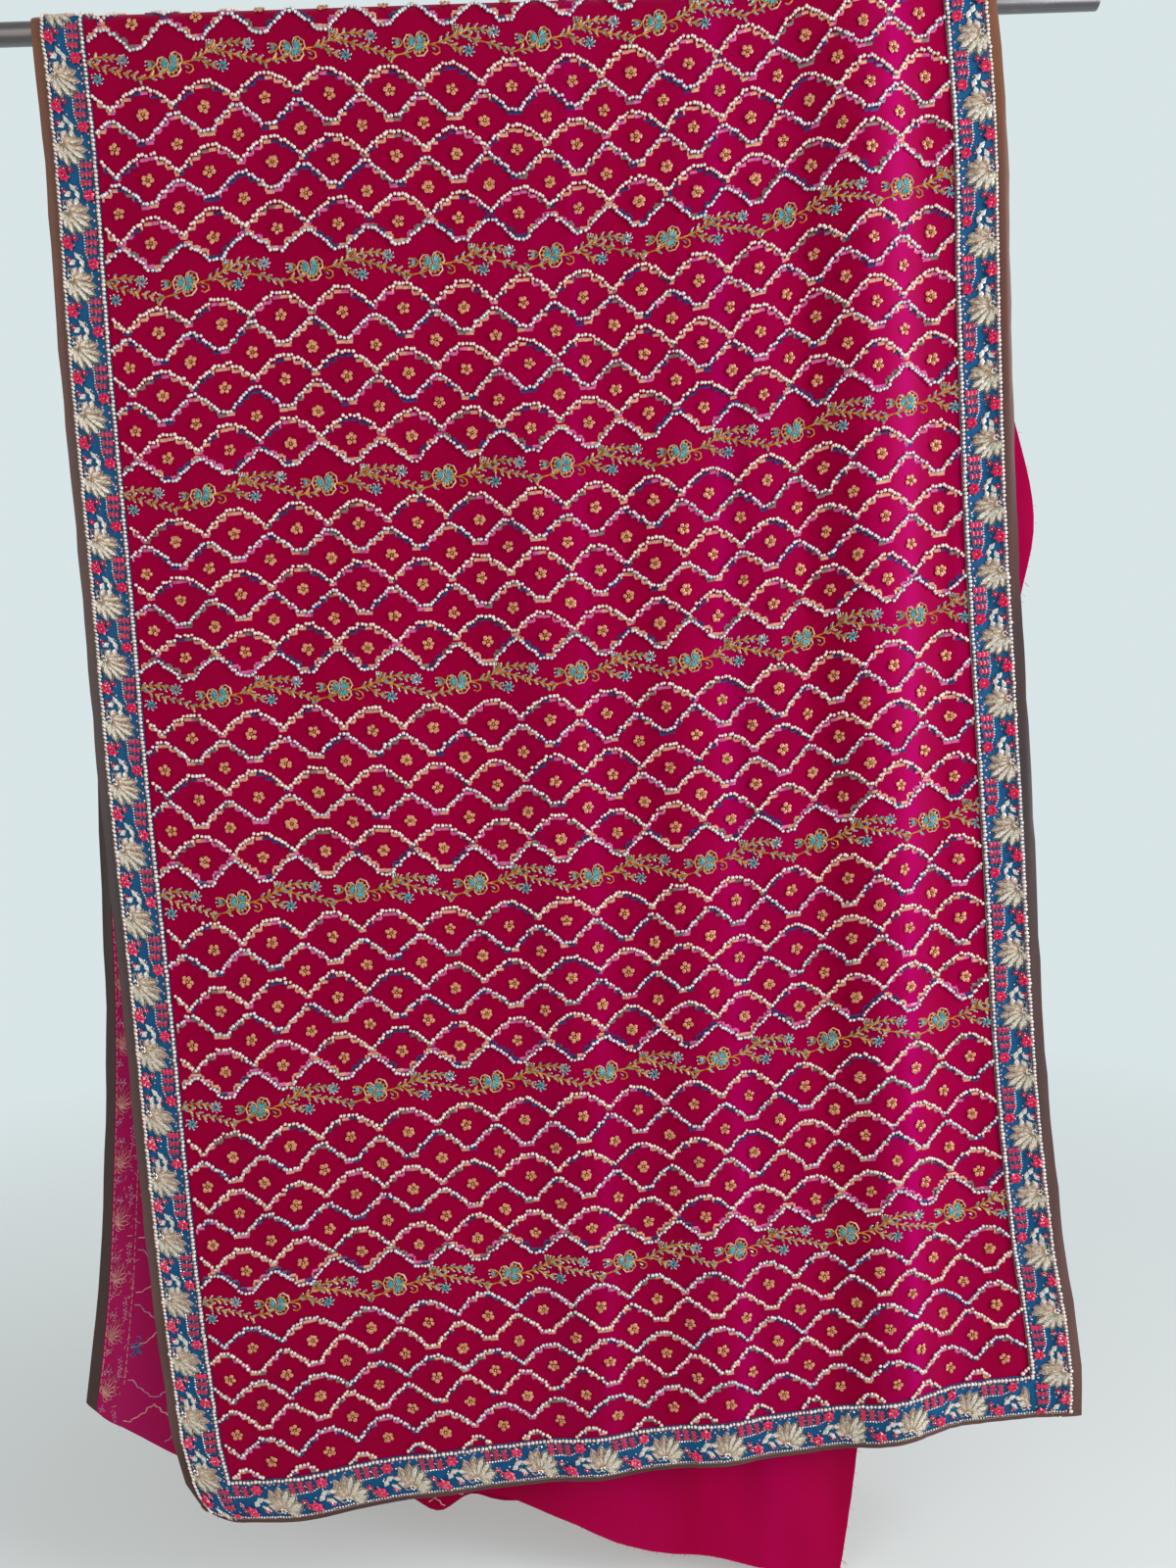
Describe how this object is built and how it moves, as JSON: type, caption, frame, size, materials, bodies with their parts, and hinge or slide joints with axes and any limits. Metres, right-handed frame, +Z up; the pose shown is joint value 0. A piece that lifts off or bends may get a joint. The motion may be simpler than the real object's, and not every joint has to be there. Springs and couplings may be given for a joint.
{
  "type": "beaded silk saree hanging on a steel rod",
  "caption": "Beaded magenta silk saree with a blue embroidered ribbon border, hanging in soft vertical folds over a plain steel rod, with a plain silk length under it",
  "frame": {"origin": "centre of the rod's left end face", "axes": "+X along the rod towards its right end, +Z up, the front of the cloth faces -Y"},
  "size_m": [1.34, 0.0745, 1.9383],
  "materials": {
    "brushed_steel": "brushed pewter-grey steel tube, lightly scuffed",
    "embroidered_silk": "crimson-magenta silk with a soft sheen, worked with glass beads",
    "plain_silk": "bright magenta silk with a soft sheen and light creases",
    "ribbon_ground": "blue ground covered with metallic thread, sequins and small flowers",
    "binding_silk": "shot silk, brown to purple-grey"
  },
  "bodies": {
    "root": {"rod": "brushed_steel", "saree_cloth": "embroidered_silk", "plain_length": "plain_silk", "ribbon_left": "ribbon_ground", "ribbon_right": "ribbon_ground", "ribbon_bottom": "ribbon_ground", "binding_left": "binding_silk", "binding_right": "binding_silk", "binding_bottom": "binding_silk"}
  },
  "joints": []
}
